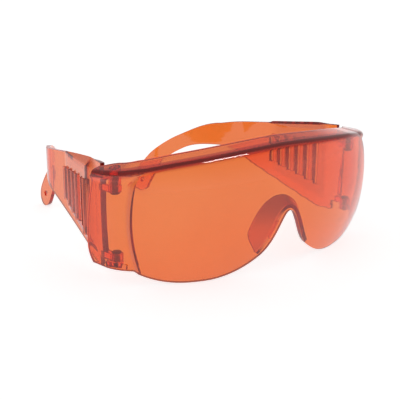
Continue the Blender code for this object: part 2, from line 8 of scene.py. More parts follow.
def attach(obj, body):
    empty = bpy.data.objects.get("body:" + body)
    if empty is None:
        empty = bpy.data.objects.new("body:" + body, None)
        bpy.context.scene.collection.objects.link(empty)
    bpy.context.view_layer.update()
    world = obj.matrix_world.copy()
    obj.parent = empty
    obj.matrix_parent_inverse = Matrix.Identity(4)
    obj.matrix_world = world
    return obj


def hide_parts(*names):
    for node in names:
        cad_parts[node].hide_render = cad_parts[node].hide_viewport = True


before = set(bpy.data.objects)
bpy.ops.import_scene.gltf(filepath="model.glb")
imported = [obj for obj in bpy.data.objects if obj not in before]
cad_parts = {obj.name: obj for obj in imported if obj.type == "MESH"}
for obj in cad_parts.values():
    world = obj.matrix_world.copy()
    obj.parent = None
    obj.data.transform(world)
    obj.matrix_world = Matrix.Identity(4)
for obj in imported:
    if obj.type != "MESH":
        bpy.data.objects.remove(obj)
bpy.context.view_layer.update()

MM = 0.001

# Overall placement: the front of the shield is moved forward so that the origin is under the middle.
FRONT_SHIFT = 79.9 * MM

# Lens shield, seen from above. Lengths along the outer face are measured from the middle.
FACE_RADIUS = 128.35 * MM
FACE_HALF_LENGTH = 40.0 * MM
CHEEK_RADIUS = 110.5 * MM
STEP_X = 65.0 * MM
WING_RADIUS = 21.4 * MM
WING_ANGLE = math.radians(75.1)
WING_STRAIGHT = 9.84 * MM
SHELL_THICKNESS = 2.0 * MM
WING_RECESS = 1.5 * MM
RECESS_FADE = 0.08
STEP_WIDTH = 3.4 * MM
STEP_BULGE = 3.6 * MM
STEP_CORNER = 3.6 * MM
STEP_CORNER_SHARE = 0.16
STEP_BOW_RUN = 16.0 * MM
WING_EDGE_LEAN = 2.4 * MM
WING_EDGE_BOW = 1.5 * MM
WING_CORNER = 2.4 * MM
WING_CORNER_SHARE = 0.2

# Lens shield, seen from the front.
TOP_HEIGHT = 55.6 * MM
TOP_FALL = 4.73 * MM
TOP_FALL_POWER = 1.59
TOP_FALL_REACH = 60.0 * MM
CROWN = 5.97 * MM
CROWN_HEIGHT = 31.4 * MM
CROWN_SPAN = 30.0 * MM
WING_CROWN_SHARE = 0.2
LOBE_LOW_U = 40.8 * MM
STEP_FOOT = 5.6 * MM
WING_FOOT_AT_STEP = 6.8 * MM
WING_FOOT_AT_END = 8.7 * MM
LOBE_POWER = 2.57
NOSE_HALF_WIDTH = 14.26 * MM
NOSE_HEIGHT = 27.3 * MM
NOSE_DROP = 25.0 * MM
NOSE_SPREAD = 8.46 * MM
NOSE_POWER = 2.2

# Brow shelf and nose flange.
SHELF_DEPTH = 9.7 * MM
SHELF_END_DEPTH = 5.0 * MM
SHELF_RISE = 1.98 * MM
BROW_TANGENT = 2.0 * MM
FLANGE_DEPTH = 9.0 * MM
FLANGE_REACH = 0.97
FLANGE_ROOT_DEPTH = 0.8 * MM
FLANGE_THICKNESS = 1.5 * MM
FLANGE_INSET = 1.0 * MM
FLANGE_END_SHARE = 0.35
FLANGE_END_START = 0.6
FLANGE_ARCH_HALF_WIDTH = 17.0 * MM
FLANGE_ARCH_HEIGHT = 21.0 * MM
FLANGE_ARCH_FOOT = 10.7 * MM
FLANGE_ARCH_SPREAD = 0.65

# Hinges.
HINGE_X = 67.0 * MM
HINGE_Y = 31.5 * MM
PIN_RADIUS = 1.2 * MM
PIN_CLEARANCE = 0.05 * MM
PIN_HEAD_RADIUS = 1.9 * MM
PIN_HEAD_HEIGHT = 0.8 * MM
KNUCKLE_RADIUS = 2.6 * MM
KNUCKLE_HEIGHT = 3.0 * MM
HINGE_GAP = 0.3 * MM
BOSS_RADIUS = 2.4 * MM
BOSS_BOTTOM = 43.0 * MM
BOSS_TOP = 49.4 * MM
UPPER_PIN_TOP = 46.2 * MM
LUG_RADIUS = 2.6 * MM
LUG_BOTTOM = 8.3 * MM
LUG_TOP = 10.5 * MM
LUG_FOOT = ((0.0, -7.6 * MM), (2.2 * MM, -4.5 * MM), (3.7 * MM, -1.2 * MM), (4.5 * MM, 2.0 * MM))
PIN_SLACK = 0.1 * MM
PIN_EDGE = 0.3 * MM
KNUCKLE_ARM = 6.2 * MM
KNUCKLE_ARM_INSET = 0.2 * MM

# Temples, in the frame of the hinge axis: s runs back, outboard is away from the head.
LEFT_FOLD = math.radians(0.8)
RIGHT_FOLD = math.radians(9.0)
TEMPLE_THICKNESS = 2.0 * MM
TEMPLE_OUTBOARD = 3.7 * MM
TEMPLE_FRONT = 4.2 * MM
CROWN_FADE = 60.0 * MM
BODY_END = 78.0 * MM
LEAN = 9.2 * MM
LEAN_LENGTH = 40.0 * MM
BEND = 22.2 * MM
BEND_START = 64.0 * MM
BEND_LENGTH = 50.0 * MM
TEMPLE_TOP = 51.9 * MM
TEMPLE_TOP_SLOPE = 0.1
TEMPLE_TOP_FRONT_FALL = 1.7 * MM
TEMPLE_TOP_FRONT_END = 24.0 * MM
TEMPLE_TOP_FALL = 0.6 * MM
TEMPLE_TOP_FALL_START = 64.0 * MM
TEMPLE_FOOT = 0.2 * MM
TEMPLE_FOOT_SLOPE = 0.4
TEMPLE_FOOT_LOWEST = 6.5 * MM
NOTCH_LENGTH = 7.2 * MM
NOTCH_TOP = 46.1 * MM
NOTCH_FOOT_LENGTH = 8.6 * MM
NOTCH_HALF_WIDTH = 12.0 * MM
NOTCH_FRONT = -2.0 * MM
NOTCH_CEILING = 60.0 * MM
NOTCH_FLOOR = -1.0 * MM
TIP_S = 122.2 * MM
TIP_LONG = 7.7 * MM
TIP_SHORT = 5.7 * MM
ARM_MID_WIDTH = 7.4 * MM
ARM_NARROW_SHARE = 0.36
ARM_START_RUN = 18.0 * MM
ARM_START_FALL = 0.4 * MM
ARM_END_RUN = 11.4 * MM
ARM_END_RISE = 17.3 * MM
TIP_HOLE_RADIUS = 1.4 * MM
TIP_HOLE_DEPTH = 12.0 * MM

# Louvred panel of each temple, which stands out from it to lie flush with the wing in front.
PANEL_START = 12.2 * MM
PANEL_RAMP = 7.2 * MM
PANEL_END = 47.0 * MM
PANEL_RISE = 2.9 * MM
PANEL_LEDGE_DROP = 4.2 * MM
PANEL_LEDGE_LEAST = 0.8 * MM
PANEL_TAPER_POWER = 0.8
PANEL_FOOT_DROP = 2.2 * MM
PANEL_FOOT_RAMP = 2.6 * MM
SLOT_COUNT = 6
SLOT_FIRST = 20.0 * MM
SLOT_PITCH = 5.15 * MM
SLOT_WIDTH = 1.9 * MM
SLOT_FOOT = 17.2 * MM
SLOT_FOOT_AT = 19.2 * MM
SLOT_FOOT_SLOPE = 0.343
SLOT_HEAD = 41.4 * MM
SLOT_HEAD_SLOPE = 0.02
SLOT_HALF_DEPTH = 5.0 * MM
HOOD_THICKNESS = 0.9 * MM
HOOD_STAND_OFF = 1.5 * MM
HOOD_ROOT_RUN = 3.4 * MM
HOOD_RIM_RUN = 1.1 * MM
HOOD_PROUD = 0.1 * MM
HOOD_OVERLAP = 0.6 * MM

# Fine surface: how closely the visible meshes follow the same shapes.
SHELL_STEP = 0.7 * MM
SHELL_ROWS = 60
SHELL_MARKS = 600
FLANGE_COLUMNS = 120
FLANGE_ROWS = 24
BROW_ROWS = 8
SHELF_ROWS = 10
TEMPLE_STEP = 0.8 * MM
FOOT_ROWS = 8
FOOT_RAMP_ROWS = 6
PANEL_ROWS = 18
LEDGE_ROWS = 6
ARM_COLUMNS = 64
TIP_COLUMNS = 28
TIP_TURN = math.radians(86.0)
HOLE_SIDES = 48
PIN_SIDES = 64
MERGE_DISTANCE = 0.01 * MM
SLOPE_STEP = 0.01 * MM
ARM_SLOPE_STEP = 0.001
RIM_ROUND = 0.35 * MM
SMALL_ROUND = 0.2 * MM
PIN_ROUND = 0.08 * MM
SHARP_ANGLE = math.radians(38)

# Colours of the dyed polycarbonate, per surface for the first wall met and for those behind it; the paler
# colours for the walls behind are painted light.
WALL_TINTS = ((0.735, 0.258, 0.046, 1.0), (0.75, 0.285, 0.058, 1.0))
WALL_BEHIND_PAINTED_LIGHT = (0.97, 0.70, 0.52, 1.0)
# Painted shade: a dark red for the first wall and a dark maroon for those behind, mixed in by the stored
# shade share.
PAINTED_SHADE_TINT = (0.30, 0.03, 0.018, 1.0)
PAINTED_SHADE_BEHIND = (0.36, 0.24, 0.34, 1.0)
RIM_TINTS = ((0.42, 0.07, 0.04, 1.0), (0.52, 0.11, 0.06, 1.0))
RIM_BEHIND_PAINTED_LIGHT = (0.58, 0.26, 0.20, 1.0)
DYE_COLOUR = (0.95, 0.20, 0.10, 1.0)
DYE_DENSITY = 300.0
# Painted glow: a faint red emission given to the plastic, which is no lamp.
PAINTED_GLOW = (1.0, 0.05, 0.02, 1.0)
PAINTED_GLOW_STRENGTH = 0.03
PIN_DARK = (0.06, 0.008, 0.010, 1.0)
PIN_LIGHT = (0.30, 0.035, 0.030, 1.0)

# Places with painted shade, a darker tint where edge-on walls, refraction and shadow make the plastic
# look dark, each with its share of the darkest one.
BROW_BAND = 1.9 * MM
BROW_BAND_FADE = 0.9 * MM
BROW_BAND_BACK = 1.7 * MM
BROW_BAND_DROP = 0.2 * MM
STEP_BAND = 3.0 * MM
STEP_BAND_LEAD = 0.4 * MM
STEP_BAND_DROP = 1.0 * MM
STEP_SHADE = 0.38
CORNER_LEAD = 14.0 * MM
CORNER_FADE = 8.0 * MM
CORNER_SHADE = 0.7
NOSE_MARK_INWARD = 2.3 * MM
NOSE_MARK_DROP = 12.0 * MM
NOSE_MARK_HALF_WIDTH = 20.0 * MM
NOSE_MARK_LOW = 18.0 * MM
NOSE_MARK_FADE = 12.0 * MM
NOSE_SHADE_LOW = 0.45
PANEL_SHADE = 0.22
LEDGE_SHADE = 0.42
PANEL_MARK_START_FADE = 3.0 * MM
PANEL_MARK_END_FADE = 6.0 * MM

# Studio: a white floor, a sky that is white low down and grey overhead, a camera and a softbox.
FLOOR_HALF = 3.0
FLOOR_COLOUR = (0.8, 0.8, 0.8, 1)
FLOOR_GLOW = 0.7
WHITE = (1, 1, 1, 1)
SKY_GREY = (0.38, 0.38, 0.38, 1)
SKY_WHITE_END = 0.03
SKY_GREY_START = 0.27
SKY_STRENGTH = 1.1
CAMERA_AZIMUTH = math.radians(-36.93)
CAMERA_ELEVATION = math.radians(16.03)
CAMERA_DISTANCE = 0.38515
CAMERA_TARGET = (-7.09 * MM, 54.81 * MM - FRONT_SHIFT, 20.4 * MM)
SENSOR_WIDTH = 36
FOCAL_LENGTH = 73.1979
NEAREST_SEEN = 0.01
SOFTBOX_WIDTH = 0.30
SOFTBOX_HEIGHT = 0.10
SOFTBOX_ENERGY = 2.2
SOFTBOX_DISTANCE = 0.8
SOFTBOX_DIRECTION = (0.203, -0.752, 0.628)
SOFTBOX_AIM = (-34 * MM, -76 * MM, 52 * MM)


def smooth(t):
    t = min(max(t, 0.0), 1.0)
    return t * t * (3.0 - 2.0 * t)


# ---------------------------------------------------------------- mesh helpers


def new_object(name, mesh):
    obj = bpy.data.objects.new(name, mesh)
    bpy.context.scene.collection.objects.link(obj)
    return obj


def to_mesh(bm, name):
    mesh = bpy.data.meshes.new(name)
    bm.to_mesh(mesh)
    bm.free()
    return mesh


def grid_mesh(name, columns, rows, point_at):
    """A grid of quads whose vertex in column i and row j is point_at(i, j)."""
    bm = bmesh.new()
    bmesh.ops.create_grid(bm, x_segments=columns - 1, y_segments=rows - 1, size=1.0)
    for vertex in bm.verts:
        i = round((vertex.co.x + 1.0) / 2.0 * (columns - 1))
        j = round((vertex.co.y + 1.0) / 2.0 * (rows - 1))
        vertex.co = point_at(i, j)
    return to_mesh(bm, name)


def prism_mesh(name, outline, low, high):
    """An outline in plan, counterclockwise, stood up from low to high."""
    bm = bmesh.new()
    base = [bm.verts.new((x, y, low)) for x, y in outline]
    bm.faces.new(base)
    made = bmesh.ops.extrude_face_region(bm, geom=list(bm.faces))
    moved = [item for item in made["geom"] if isinstance(item, bmesh.types.BMVert)]
    bmesh.ops.translate(bm, vec=(0.0, 0.0, high - low), verts=moved)
    bmesh.ops.recalc_face_normals(bm, faces=list(bm.faces))
    return to_mesh(bm, name)


def block_mesh(name, lower, upper):
    """A six-sided block given by its four lower and its four upper corners."""
    bm = bmesh.new()
    ring = [bm.verts.new(point) for point in lower]
    lid = [bm.verts.new(point) for point in upper]
    bm.faces.new(ring)
    bm.faces.new(lid)
    for k in range(4):
        n = (k + 1) % 4
        bm.faces.new((ring[k], ring[n], lid[n], lid[k]))
    bmesh.ops.recalc_face_normals(bm, faces=list(bm.faces))
    return to_mesh(bm, name)


def circle(radius, start=0.0, turn=2.0 * math.pi, count=32, closed=False):
    steps = count - 1 if closed else count
    angles = [start + turn * k / steps for k in range(count)]
    return [(radius * math.cos(a), radius * math.sin(a)) for a in angles]


def solidify(obj, thickness, offset):
    modifier = obj.modifiers.new("Thickness", "SOLIDIFY")
    modifier.thickness = thickness
    modifier.offset = offset
    modifier.use_even_offset = True


def round_edges(obj, width, segments=3, angle=50.0):
    modifier = obj.modifiers.new("Round", "BEVEL")
    modifier.width = width
    modifier.segments = segments
    modifier.limit_method = "ANGLE"
    modifier.angle_limit = math.radians(angle)
    modifier.harden_normals = False


def boolean(obj, other, operation):
    modifier = obj.modifiers.new(other.name, "BOOLEAN")
    modifier.operation = operation
    modifier.solver = "EXACT"
    modifier.object = other


def two_slots(obj, cut=False):
    """Gives the mesh the clear and the rim material; a cutter leaves rim faces behind."""
    obj.data.materials.append(clear)
    obj.data.materials.append(rim)
    if cut:
        for polygon in obj.data.polygons:
            polygon.material_index = 1
    for modifier in obj.modifiers:
        if modifier.type == "SOLIDIFY":
            modifier.material_offset_rim = 1


def apply_all(obj, helpers=()):
    """Makes the object's evaluated mesh its own, at its place in the world, and removes the helpers."""
    bpy.context.view_layer.update()
    graph = bpy.context.evaluated_depsgraph_get()
    mesh = bpy.data.meshes.new_from_object(obj.evaluated_get(graph))
    mesh.transform(obj.matrix_world)
    obj.modifiers.clear()
    obj.data = mesh
    obj.location = (0.0, 0.0, 0.0)
    obj.rotation_euler = (0.0, 0.0, 0.0)
    for helper in helpers:
        bpy.data.objects.remove(helper)
    mesh.name = obj.name
    mesh.shade_smooth()
    mesh.set_sharp_from_angle(angle=SHARP_ANGLE)
    return obj


def between(low, high, count):
    """Evenly spaced values from low up to, but without, high."""
    return [low + (high - low) * k / count for k in range(count)]


# ---------------------------------------------------------------- lens shield


def arc_marks():
    """Tangent angles and lengths at which the plan curve changes radius."""
    face_turn = FACE_HALF_LENGTH / FACE_RADIUS
    face_x = FACE_RADIUS * math.sin(face_turn)
    step_turn = math.asin((STEP_X - face_x) / CHEEK_RADIUS + math.sin(face_turn))
    step_u = FACE_HALF_LENGTH + CHEEK_RADIUS * (step_turn - face_turn)
    bend_u = step_u + WING_RADIUS * (WING_ANGLE - step_turn)
    return face_turn, step_turn, step_u, bend_u


FACE_TURN, STEP_TURN, STEP_U, BEND_U = arc_marks()
WING_END_U = BEND_U + WING_STRAIGHT


def run_arc(x, y, radius, from_angle, to_angle):
    return (
        x + radius * (math.sin(to_angle) - math.sin(from_angle)),
        y + radius * (math.cos(from_angle) - math.cos(to_angle)),
    )


def plan_point(u):
    """Position and tangent angle of the shield's outer face at the signed length u."""
    length = abs(u)
    angle = min(length, FACE_HALF_LENGTH) / FACE_RADIUS
    x, y = run_arc(0.0, 0.0, FACE_RADIUS, 0.0, angle)
    if length > FACE_HALF_LENGTH:
        angle = FACE_TURN + (min(length, STEP_U) - FACE_HALF_LENGTH) / CHEEK_RADIUS
        x, y = run_arc(x, y, CHEEK_RADIUS, FACE_TURN, angle)
    if length > STEP_U:
        angle = STEP_TURN + (min(length, BEND_U) - STEP_U) / WING_RADIUS
        x, y = run_arc(x, y, WING_RADIUS, STEP_TURN, angle)
    if length > BEND_U:
        x += (length - BEND_U) * math.cos(angle)
        y += (length - BEND_U) * math.sin(angle)
    side = -1.0 if u < 0.0 else 1.0
    return side * x, y, side * angle


def crown(u, z):
    """How far the outer face falls back above and below its fullest height."""
    past = min(max((abs(u) - STEP_U) / (BEND_U - STEP_U), 0.0), 1.0)
    share = 1.0 + (WING_CROWN_SHARE - 1.0) * past
    return share * CROWN * ((z - CROWN_HEIGHT) / CROWN_SPAN) ** 2


def shield_point(u, z, inward):
    """A point at a distance inward from the crowned outer face."""
    x, y, angle = plan_point(u)
    y -= FRONT_SHIFT
    return (x - math.sin(angle) * inward, y + math.cos(angle) * inward, z)


def top_height(u):
    x = plan_point(u)[0]
    return TOP_HEIGHT - TOP_FALL * abs(x / TOP_FALL_REACH) ** TOP_FALL_POWER


def nose_outline(u):
    """Height of the nose opening's edge at the length u: a rounded peak with spreading sides."""
    steep = (abs(u) / NOSE_SPREAD) ** NOSE_POWER
    return NOSE_HEIGHT - NOSE_DROP * steep / (1.0 + steep)


def foot_height(u):
    length = abs(u)
    if length < NOSE_HALF_WIDTH:
        return nose_outline(length)
    if length < LOBE_LOW_U:
        part = (LOBE_LOW_U - length) / (LOBE_LOW_U - NOSE_HALF_WIDTH)
        return nose_outline(NOSE_HALF_WIDTH) * part**NOSE_POWER
    lobe = STEP_FOOT * ((min(length, STEP_U) - LOBE_LOW_U) / (STEP_U - LOBE_LOW_U)) ** LOBE_POWER
    part = max(length - STEP_U, 0.0) / (WING_END_U - STEP_U)
    wing = WING_FOOT_AT_STEP + (WING_FOOT_AT_END - WING_FOOT_AT_STEP) * part
    return lobe + (wing - STEP_FOOT) * smooth((length - STEP_U) / STEP_WIDTH)


def wing_edge(part):
    """How far the wing's rear edge lies behind its nominal end, from its foot at 0 to its top at 1."""
    off = 2.0 * part - 1.0
    corner = max(1.0 - part / WING_CORNER_SHARE, 0.0)
    return -WING_EDGE_LEAN * off - WING_EDGE_BOW * off * off - WING_CORNER * corner**2


def bowed(u, part):
    """Moves a column's length so that the step and the wing's rear edge curve with height."""
    corner = max(1.0 - (1.0 - part) / STEP_CORNER_SHARE, 0.0)
    bulge = STEP_BULGE * 4.0 * part * (1.0 - part) - STEP_CORNER * corner * corner
    length = abs(u)
    start = STEP_U - STEP_BOW_RUN
    if length <= start:
        return u
    if length <= STEP_U:
        shift = bulge * (length - start) / (STEP_U - start)
    else:
        past = (length - STEP_U) / (WING_END_U - STEP_U)
        shift = bulge * (1.0 - past) ** 2 + wing_edge(part) * past**3
    return math.copysign(length + shift, u)


def recess(u, part):
    """How far the wing is stepped back behind the lens face: sharp at the lens, fading under the brow."""
    past = min(max((abs(u) - STEP_U) / STEP_WIDTH, 0.0), 1.0)
    return WING_RECESS * (1.0 - (1.0 - past) ** 2) * smooth((1.0 - part) / RECESS_FADE)


def shelf_size(u):
    """Depth and rise of the brow shelf, which narrows behind the hinge."""
    end = smooth((abs(u) - BEND_U) / (WING_END_U - BEND_U))
    depth = SHELF_DEPTH + (SHELF_END_DEPTH - SHELF_DEPTH) * end
    return depth, SHELF_RISE * depth / SHELF_DEPTH


def shield_profile(u, part):
    """A point of one column: part 0 to 1 climbs the lens, 1 to 2 rounds the brow, 2 to 3 is the shelf."""
    foot, top = foot_height(u), top_height(u)
    depth, rise = shelf_size(u)
    slope = math.hypot(depth, rise)
    back, up = depth / slope, rise / slope
    if part <= 1.0:
        z = foot + (top - BROW_TANGENT - foot) * part
        place = bowed(u, (z - foot) / (top - foot))
        return shield_point(place, z, recess(u, part) + crown(place, z))
    edge = crown(u, top)
    place = bowed(u, 1.0)
    if part <= 2.0:
        t = part - 1.0
        lower = crown(u, top - BROW_TANGENT)
        inward = lower * (1 - t) ** 2 + 2 * edge * t * (1 - t) + (edge + BROW_TANGENT * back) * t * t
        z = top - BROW_TANGENT * (1 - t) ** 2 + BROW_TANGENT * up * t * t
        return shield_point(place, z, inward)
    run = BROW_TANGENT + (slope - BROW_TANGENT) * (part - 2.0)
    return shield_point(place, top + up * run, edge + back * run)


def nose_flange_point(t, back):
    """A point of the flange's middle layer: back 0 is inside the lens edge, 1 is the arched free edge."""
    u = NOSE_HALF_WIDTH * t
    slope = (nose_outline(u + SLOPE_STEP) - nose_outline(u - SLOPE_STEP)) / (2.0 * SLOPE_STEP)
    long = math.hypot(1.0, slope)
    root_u = u - slope / long * FLANGE_INSET
    root_z = nose_outline(u) + FLANGE_INSET / long
    swing = math.copysign(math.pi / 2.0 * abs(t) ** FLANGE_ARCH_SPREAD, t)
    arch_u = FLANGE_ARCH_HALF_WIDTH * math.sin(swing)
    arch_z = FLANGE_ARCH_FOOT + FLANGE_ARCH_HEIGHT * math.cos(swing)
    near_end = smooth((abs(t) - FLANGE_END_START) / (1.0 - FLANGE_END_START))
    full = FLANGE_DEPTH * (1.0 - (1.0 - FLANGE_END_SHARE) * near_end**2)
    share = back * (full - FLANGE_ROOT_DEPTH) / (FLANGE_DEPTH - FLANGE_ROOT_DEPTH)
    depth = FLANGE_ROOT_DEPTH + (full - FLANGE_ROOT_DEPTH) * back
    z = root_z + (arch_z - root_z) * share
    return shield_point(root_u + (arch_u - root_u) * share, z, crown(u, z) + depth)


def build_shell():
    count = round(WING_END_U / SHELL_STEP)
    columns = [WING_END_U * k / count for k in range(-count, count + 1)]
    parts = between(0.0, 1.0, SHELL_ROWS) + between(1.0, 2.0, BROW_ROWS)
    parts += between(2.0, 3.0, SHELF_ROWS) + [3.0]

    def at(i, j):
        return shield_profile(columns[i], parts[j])

    mesh = grid_mesh("shield", len(columns), len(parts), at)
    shell = new_object("shield_moulding", mesh)
    solidify(shell, SHELL_THICKNESS, -1.0)
    round_edges(shell, RIM_ROUND)
    return shell


def build_nose_flange():
    def at(i, j):
        place = i / (FLANGE_COLUMNS - 1) * 2.0 - 1.0
        return nose_flange_point(place * FLANGE_REACH, j / (FLANGE_ROWS - 1))

    flange = new_object("nose_flange", grid_mesh("nose_flange", FLANGE_COLUMNS, FLANGE_ROWS, at))
    solidify(flange, FLANGE_THICKNESS, 0.0)
    round_edges(flange, RIM_ROUND)
    return flange


# ---------------------------------------------------------------- hinges


def hinge_place(obj, side, fold=0.0):
    """Puts an object that was modelled about the hinge axis on the real axis of its side."""
    obj.location = (side * HINGE_X, HINGE_Y - FRONT_SHIFT, 0.0)
    obj.rotation_euler = (0.0, 0.0, side * fold)


def sided(points, side):
    """Mirrors an outline for the left side and keeps it counterclockwise."""
    if side > 0:
        return list(points)
    return [(-x, y) for x, y in reversed(list(points))]


def lug_outline():
    """The lower lug: a round end about the pin and a foot that runs forward along the wing."""
    return circle(LUG_RADIUS, math.radians(60), math.radians(210), 16, True) + list(LUG_FOOT)


def knuckle_levels():
    """Lowest height of the upper and of the lower temple knuckle."""
    return BOSS_BOTTOM - HINGE_GAP - KNUCKLE_HEIGHT, LUG_TOP + HINGE_GAP


def pin_mesh(name, profile):
    """A half profile of radius and height, for a Screw modifier to turn about the axis."""
    bm = bmesh.new()
    points = [bm.verts.new((r, 0.0, z)) for r, z in profile]
    for first, second in zip(points, points[1:]):
        bm.edges.new((first, second))
    return to_mesh(bm, name)


def prism(name, outline, low, high, rounding=0.0):
    obj = new_object(name, prism_mesh(name, outline, low, high))
    if rounding:
        round_edges(obj, rounding, 2)
    return obj


def front_hinge_pieces():
    """Bosses, lugs and pin bores of both sides, with what each does to the shield."""
    made = []
    hole = circle(PIN_RADIUS + PIN_CLEARANCE, count=HOLE_SIDES)
    for side, tag in ((-1, "left"), (1, "right")):
        outline = sided(circle(BOSS_RADIUS, count=HOLE_SIDES), side)
        pieces = [
            (prism("boss_" + tag, outline, BOSS_BOTTOM, BOSS_TOP, SMALL_ROUND), "UNION"),
            (prism("lug_" + tag, sided(lug_outline(), side), LUG_BOTTOM, LUG_TOP, SMALL_ROUND), "UNION"),
            (prism("bore_top_" + tag, hole, BOSS_BOTTOM - MM, UPPER_PIN_TOP + PIN_SLACK), "DIFFERENCE"),
            (prism("bore_low_" + tag, hole, LUG_BOTTOM - MM, LUG_TOP + MM), "DIFFERENCE"),
        ]
        for piece, _ in pieces:
            hinge_place(piece, side)
        made += pieces
    return made


def store_painted_shade(mesh, values):
    """Keeps one share of the painted shade per vertex."""
    layer = mesh.attributes.new("painted_shade", "FLOAT", "POINT")
    layer.data.foreach_set("value", values)


def painted_shade_share(u, x, z, inward):
    """The painted shade's share at the length u: brow band, step band, brow corner and nose flange."""
    top, foot = top_height(u), foot_height(u)
    far = math.hypot(inward - crown(u, top) - BROW_BAND_BACK, z - top + BROW_BAND_DROP)
    brow = 1.0 - smooth((far - BROW_BAND) / BROW_BAND_FADE)
    part = min(max((z - foot) / (top - foot), 0.0), 1.0)
    past = abs(u) - abs(bowed(STEP_U, part))
    step = corner = nose = 0.0
    if past > -STEP_BAND_LEAD and z < top - STEP_BAND_DROP:
        step = STEP_SHADE * (1.0 - smooth(past / STEP_BAND))
    if z > top:
        corner = CORNER_SHADE * smooth((abs(u) - BEND_U + CORNER_LEAD) / CORNER_FADE)
    low_enough = z < top - NOSE_MARK_DROP and abs(x) < NOSE_MARK_HALF_WIDTH
    if low_enough and inward > crown(u, z) + NOSE_MARK_INWARD:
        nose = NOSE_SHADE_LOW + (1.0 - NOSE_SHADE_LOW) * smooth((z - NOSE_MARK_LOW) / NOSE_MARK_FADE)
    return max(brow, step, corner, nose)


def mark_painted_shade(mesh):
    """Stores how much painted shade the shield gets, from each vertex's nearest place on the plan curve.
    """
    tree = kdtree.KDTree(2 * SHELL_MARKS + 1)
    lengths = [WING_END_U * k / SHELL_MARKS for k in range(-SHELL_MARKS, SHELL_MARKS + 1)]
    for k, u in enumerate(lengths):
        x, y, _ = plan_point(u)
        tree.insert((x, y - FRONT_SHIFT, 0.0), k)
    tree.balance()
    values = []
    for vertex in mesh.vertices:
        x, y, z = vertex.co
        _, k, inward = tree.find((x, y, 0.0))
        values.append(painted_shade_share(lengths[k], x, z, inward))
    store_painted_shade(mesh, values)


def build_shield():
    shell = build_shell()
    helpers = [(build_nose_flange(), "UNION")] + front_hinge_pieces()
    two_slots(shell)
    for piece, operation in helpers:
        two_slots(piece, operation == "DIFFERENCE")
        boolean(shell, piece, operation)
    apply_all(shell, [piece for piece, _ in helpers])
    # Painted shade on the brow band, step, brow corner and nose flange.
    mark_painted_shade(shell.data)
    return shell


def build_pin(name, side, low, high, head_low):
    """A pin from low to high whose head is added below or above that stretch."""
    shank, head, edge = PIN_RADIUS, PIN_HEAD_RADIUS, PIN_EDGE
    if head_low:
        under = low - PIN_HEAD_HEIGHT
        profile = [(0.0, under), (head - edge, under), (head, under + edge), (head, low)]
        profile += [(shank, low), (shank, high - edge), (shank - edge, high), (0.0, high)]
    else:
        over = high + PIN_HEAD_HEIGHT
        profile = [(0.0, low), (shank - edge, low), (shank, low + edge), (shank, high)]
        profile += [(head, high), (head, over - edge), (head - edge, over), (0.0, over)]
    obj = new_object(name, pin_mesh(name, profile))
    screw = obj.modifiers.new("Turn", "SCREW")
    screw.steps = PIN_SIDES
    screw.render_steps = PIN_SIDES
    screw.use_merge_vertices = True
    screw.merge_threshold = MERGE_DISTANCE
    screw.use_normal_flip = True
    round_edges(obj, PIN_ROUND, 2, 30.0)
    hinge_place(obj, side)
    return apply_all(obj)


# ---------------------------------------------------------------- temples


def outboard(s, z):
    """Distance of the temple's middle layer from the hinge axis, away from the head."""
    lean = LEAN * (1.0 - math.exp(-max(s, 0.0) / LEAN_LENGTH))
    bend = BEND * smooth((s - BEND_START) / BEND_LENGTH)
    share = 1.0 - smooth((s - TEMPLE_FRONT) / CROWN_FADE)
    full = WING_CROWN_SHARE * CROWN * share * ((z - CROWN_HEIGHT) / CROWN_SPAN) ** 2
    return TEMPLE_OUTBOARD - lean - bend - full + panel_rise(s, z)


def panel_taper(s):
    part = min(max((PANEL_END - s) / (PANEL_END - PANEL_START), 0.0), 1.0)
    return part**PANEL_TAPER_POWER


def panel_rise(s, z):
    """How far the louvred panel stands out: its ledge slopes out and down from the temple's top edge."""
    if not PANEL_START < s < PANEL_END:
        return 0.0
    taper = panel_taper(s)
    ledge = min((temple_top(s) - z) / (PANEL_LEDGE_DROP * taper), 1.0)
    foot = smooth((z - slot_foot(s) + PANEL_FOOT_DROP + PANEL_FOOT_RAMP) / PANEL_FOOT_RAMP)
    return PANEL_RISE * taper * smooth((s - PANEL_START) / PANEL_RAMP) * ledge * foot


def slot_foot(s):
    return SLOT_FOOT + SLOT_FOOT_SLOPE * (s - SLOT_FOOT_AT)


def temple_top(s):
    front = max(1.0 - s / TEMPLE_TOP_FRONT_END, 0.0)
    rear = max(s - TEMPLE_TOP_FALL_START, 0.0) / (BODY_END - TEMPLE_TOP_FALL_START)
    fall = TEMPLE_TOP_FRONT_FALL * front**2 + TEMPLE_TOP_FALL * rear**2
    return TEMPLE_TOP - TEMPLE_TOP_SLOPE * s - fall


def temple_foot(s):
    return max(TEMPLE_FOOT + TEMPLE_FOOT_SLOPE * s, TEMPLE_FOOT_LOWEST)


def tip_centre():
    """Place and height of the tip's middle, with the tip's lowest point on the ground."""
    angle = math.atan2(ARM_END_RISE, ARM_END_RUN)
    low = math.hypot(TIP_LONG * math.sin(angle), TIP_SHORT * math.cos(angle))
    return TIP_S, low


def arm_point(t):
    """Centre line of the ear arm, from the body at t = 0 to the middle of the tip at t = 1."""
    s0, z0 = BODY_END, (temple_top(BODY_END) + temple_foot(BODY_END)) / 2.0
    s3, z3 = tip_centre()
    s1, z1 = s0 + ARM_START_RUN, z0 - ARM_START_FALL
    s2, z2 = s3 - ARM_END_RUN, z3 + ARM_END_RISE
    a, b, c, d = (1 - t) ** 3, 3 * t * (1 - t) ** 2, 3 * t * t * (1 - t), t**3
    return a * s0 + b * s1 + c * s2 + d * s3, a * z0 + b * z1 + c * z2 + d * z3


